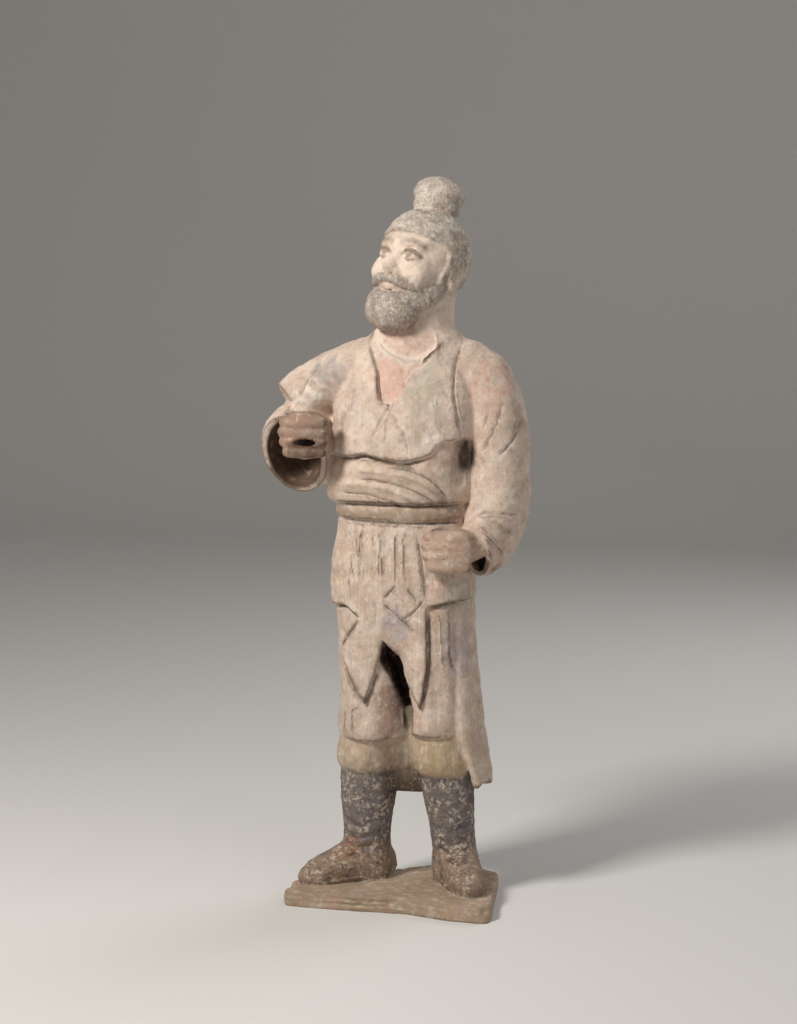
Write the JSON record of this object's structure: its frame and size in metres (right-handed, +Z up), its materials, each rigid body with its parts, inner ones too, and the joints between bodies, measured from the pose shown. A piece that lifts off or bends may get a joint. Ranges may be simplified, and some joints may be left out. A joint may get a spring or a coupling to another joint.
{
  "type": "tomb figure",
  "caption": "Standing pottery tomb figure of a bearded attendant in jacket, sash, tucked robe and boots, a fist raised and a hand on the hip, on a thin slab that keeps it upright.",
  "frame": {"origin": "on the slab's underside, between the two boots", "axes": "+X to the figure's left hand, +Y to its back, +Z up from the slab to the hair knot"},
  "size_m": [0.1813, 0.1058, 0.4963],
  "materials": {
    "fired_clay": "matte"
  },
  "bodies": {
    "root": {"figure": "fired_clay"}
  },
  "joints": []
}
